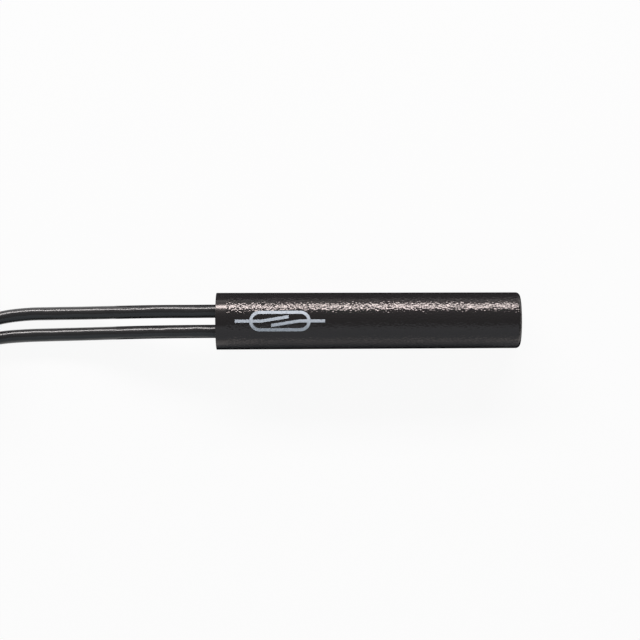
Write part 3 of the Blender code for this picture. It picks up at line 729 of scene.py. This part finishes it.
# The head, with the slot that the strap leaves through, and the strap's cut end
head_inner_y = HANK_Y + strap_side + STRAP_THICKNESS / 2
head_z = (strap_low + strap_high) / 2
head_outer_y = head_inner_y + HEAD_DEPTH
bpy.ops.object.mode_set(mode="EDIT")
bpy.ops.mesh.select_all(action="DESELECT")
head_middle_y = head_inner_y + HEAD_DEPTH / 2
bpy.ops.mesh.primitive_cube_add(size=1, location=(HANK_MIDDLE_X, head_middle_y, head_z))
bpy.ops.transform.resize(value=(HEAD_WIDTH, HEAD_DEPTH, HEAD_HEIGHT))
bpy.ops.mesh.bevel(offset=HEAD_EDGE, segments=4, affect="EDGES")
pick("FACE", lambda middle: abs(middle.y - head_outer_y) < HAIR)
for ring in HEAD_RINGS:
    bpy.ops.mesh.inset(thickness=ring)
to_slot = 2 * (HEAD_EDGE + sum(HEAD_RINGS))
across = (STRAP_WIDTH + 2 * SLOT_GAP) / (HEAD_WIDTH - to_slot)
upwards = (STRAP_THICKNESS + 2 * SLOT_GAP) / (HEAD_HEIGHT - to_slot)
bpy.ops.transform.resize(
    value=(across, 1, upwards), center_override=(HANK_MIDDLE_X, head_outer_y, head_z)
)
bpy.ops.mesh.extrude_region_move(TRANSFORM_OT_translate={"value": (0, -SLOT_DEPTH, 0)})
stub_middle_y = head_outer_y + (STUB_LENGTH - SLOT_DEPTH) / 2
bpy.ops.mesh.select_all(action="DESELECT")
bpy.ops.mesh.primitive_cube_add(size=1, location=(HANK_MIDDLE_X, stub_middle_y, head_z))
bpy.ops.transform.resize(value=(STRAP_WIDTH, STUB_LENGTH + SLOT_DEPTH, STRAP_THICKNESS))
bpy.ops.mesh.bevel(offset=STUB_EDGE, segments=2, affect="EDGES")
bpy.ops.object.mode_set(mode="OBJECT")
bpy.ops.object.shade_smooth_by_angle(angle=math.radians(35))
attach(tie, "sensor")
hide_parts("hank_tie")

# Moulded black nylon: satin, with a fine even texture from the mould
tie_nylon = blank_material("moulded_black_tie_nylon")
place = add(tie_nylon, "ShaderNodeTexCoord").outputs["Object"]
texture = add(
    tie_nylon, "ShaderNodeTexNoise", {"Vector": place, "Scale": 1 / MOULD_TEXTURE, "Detail": 2}
).outputs["Fac"]
textured = add(
    tie_nylon, "ShaderNodeBump", {"Height": texture, "Strength": 1, "Distance": 0.01 * mm}
).outputs["Normal"]
satin = add(
    tie_nylon,
    "ShaderNodeBsdfPrincipled",
    {"Base Color": linear(TIE_BLACK), "Roughness": 0.36, "IOR": 1.53, "Normal": textured},
).outputs["BSDF"]
add(tie_nylon, "ShaderNodeOutputMaterial", {"Surface": satin})
tie.data.materials.append(tie_nylon)

# The tie joins the near lead's pieces, after its tip
cords[0][-1].append(tie)

# Stage
# A plain pale table. The camera, gloss and glass see it nearly white, and a little of the lit table
# stays in it with the sensor's shadow.
TABLE_WIDTH = 3  # metres
TABLE_GREY = "#d9d9d9"
TABLE_WHITENING = 0.93
bpy.ops.mesh.primitive_plane_add(size=TABLE_WIDTH, location=(0, 0, 0))
floor = bpy.context.object
floor.name = "floor"
table_top = blank_material("pale_table")
ray = add(table_top, "ShaderNodeLightPath")
seen = ray.outputs["Is Camera Ray"]
for kind in ("Is Glossy Ray", "Is Transmission Ray"):
    seen = add(
        table_top, "ShaderNodeMath", {0: seen, 1: ray.outputs[kind]}, operation="ADD", use_clamp=True
    ).outputs["Value"]
whitened = add(
    table_top, "ShaderNodeMath", {0: seen, 1: TABLE_WHITENING}, operation="MULTIPLY"
).outputs["Value"]
matt = add(table_top, "ShaderNodeBsdfDiffuse", {"Color": linear(TABLE_GREY)}).outputs["BSDF"]
white = add(
    table_top, "ShaderNodeEmission", {"Color": (1, 1, 1, 1), "Strength": 1}
).outputs["Emission"]
mixed = add(table_top, "ShaderNodeMixShader", {0: whitened, 1: matt, 2: white}).outputs["Shader"]
add(table_top, "ShaderNodeOutputMaterial", {"Surface": mixed})
floor.data.materials.append(table_top)

# Lights
# A long strip softbox to one side, low enough for its reflection to run along the barrel half
# way to its edge, and a broad weak fill on the other side.
def softbox(name, colour, radiance, tilt, distance, centre_x, length, width):
    """A rectangular lamp that shines on the sensor from the tilt, in degrees off the vertical."""
    lamp = bpy.data.lights.new(name, "AREA")
    lamp.shape = "RECTANGLE"
    lamp.size = length
    lamp.size_y = width
    lamp.color = linear(colour)[:3]
    lamp.energy = radiance * math.pi * length * width
    lamp_object = bpy.data.objects.new(name, lamp)
    angle = math.radians(tilt)
    lamp_object.location = (centre_x, distance * math.sin(angle), distance * math.cos(angle))
    lamp_object.rotation_euler = (-angle, 0, 0)
    lamp_object.visible_camera = False
    bpy.context.scene.collection.objects.link(lamp_object)


softbox(
    "key_strip",
    "#fffaf9",
    radiance=24,
    tilt=61.4,
    distance=400 * mm,
    centre_x=-60 * mm,
    length=560 * mm,
    width=70 * mm,
)
softbox(
    "broad_fill",
    "#e6f4ff",
    radiance=0.46,
    tilt=-51,
    distance=500 * mm,
    centre_x=0,
    length=900 * mm,
    width=590 * mm,
)

# Two sheets on the table paint shade into the barrel's edges and keep them dark: a black one
# under the sensor, and a grey one beside it. Only reflections see them.
SHADE_SHEET_REACH = 53 * mm
SHADE_SHEETS_MEET_Y = -6.5 * mm
SHADE_SHEET_END_X = END_X + 5 * mm
SHADE_SHEET_Z = 0.02 * mm
for name, colour, start_x, low_y, high_y in (
    ("black_shade_sheet", "#141414", MOUTH_X - 11 * mm, SHADE_SHEETS_MEET_Y, SHADE_SHEET_REACH),
    ("grey_shade_sheet", "#b6babe", MOUTH_X - 2 * mm, -SHADE_SHEET_REACH, SHADE_SHEETS_MEET_Y),
):
    # painted shade: each sheet's plain matt colour, seen only in the sensor's reflections
    shade_matt = blank_material(f"{name}_felt")
    dark = add(shade_matt, "ShaderNodeBsdfDiffuse", {"Color": linear(colour)}).outputs["BSDF"]
    add(shade_matt, "ShaderNodeOutputMaterial", {"Surface": dark})
    middle = ((start_x + SHADE_SHEET_END_X) / 2, (low_y + high_y) / 2, SHADE_SHEET_Z)
    bpy.ops.mesh.primitive_plane_add(size=1, location=middle)
    shade_sheet = bpy.context.object
    shade_sheet.name = name
    shade_sheet.scale = (SHADE_SHEET_END_X - start_x, high_y - low_y, 1)
    bpy.ops.object.transform_apply(location=True, rotation=True, scale=True)
    shade_sheet.visible_camera = False
    shade_sheet.visible_diffuse = False
    shade_sheet.visible_shadow = False
    shade_sheet.data.materials.append(shade_matt)

# The room is white to the camera and through glass. Gloss shows it with low white walls under a
# dim ceiling, and its light on the sensor is dim all round.
ROOM_LIGHT = 0.15
WALLS_TOP = math.sin(math.radians(2))
CEILING_FROM = math.sin(math.radians(8))
studio = bpy.data.worlds.new("studio")
studio.use_nodes = True
studio.node_tree.nodes.clear()
bpy.context.scene.world = studio
ray = add(studio, "ShaderNodeLightPath")
direction = add(studio, "ShaderNodeTexCoord").outputs["Generated"]
height = add(studio, "ShaderNodeSeparateXYZ", {"Vector": direction}).outputs["Z"]
room = add(
    studio,
    "ShaderNodeMapRange",
    {
        "Value": height,
        "From Min": WALLS_TOP,
        "From Max": CEILING_FROM,
        "To Min": 1,
        "To Max": ROOM_LIGHT,
    },
).outputs["Result"]
in_gloss = add(
    studio,
    "ShaderNodeMapRange",
    {"Value": ray.outputs["Is Glossy Ray"], "To Min": ROOM_LIGHT, "To Max": room},
).outputs["Result"]
seen = add(
    studio,
    "ShaderNodeMath",
    {0: ray.outputs["Is Camera Ray"], 1: ray.outputs["Is Transmission Ray"]},
    operation="ADD",
    use_clamp=True,
).outputs["Value"]
level = add(
    studio, "ShaderNodeMapRange", {"Value": seen, "To Min": in_gloss, "To Max": 1}
).outputs["Result"]
backdrop = add(
    studio, "ShaderNodeBackground", {"Color": (1, 1, 1, 1), "Strength": level}
).outputs["Background"]
add(studio, "ShaderNodeOutputWorld", {"Surface": backdrop})

bpy.context.scene.view_settings.view_transform = "Standard"
